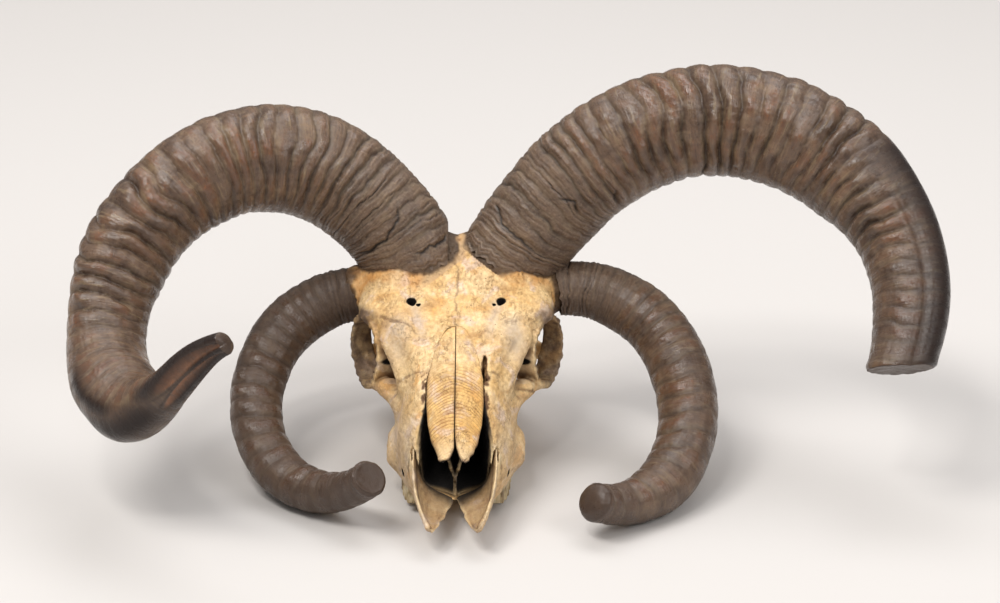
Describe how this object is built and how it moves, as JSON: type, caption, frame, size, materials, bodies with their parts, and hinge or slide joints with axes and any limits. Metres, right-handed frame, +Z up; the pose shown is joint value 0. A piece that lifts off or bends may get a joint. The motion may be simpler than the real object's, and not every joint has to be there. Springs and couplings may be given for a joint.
{
  "type": "ram skull",
  "caption": "Life-size bare skull of a four-horned ram, lying on its cheek teeth and lower horns, with curled ringed horn sheaths and no lower jaw.",
  "frame": {"origin": "under the middle of the bounding box, on the plane that the skull lies on", "axes": "+Z up, +X towards the ram's left (the longest extent, across the horns), -Y towards the muzzle"},
  "size_m": [0.5302, 0.2488, 0.2393],
  "materials": {
    "bone": "dry bone, matt",
    "horn": "horn, ringed, dull gloss"
  },
  "bodies": {
    "root": {"cranium": "bone", "nasal_bone_left": "bone", "nasal_bone_right": "bone", "premaxilla_left": "bone", "premaxilla_right": "bone", "horn_upper_left": "horn", "horn_upper_right": "horn", "horn_lower_left": "horn", "horn_lower_right": "horn"}
  },
  "joints": []
}
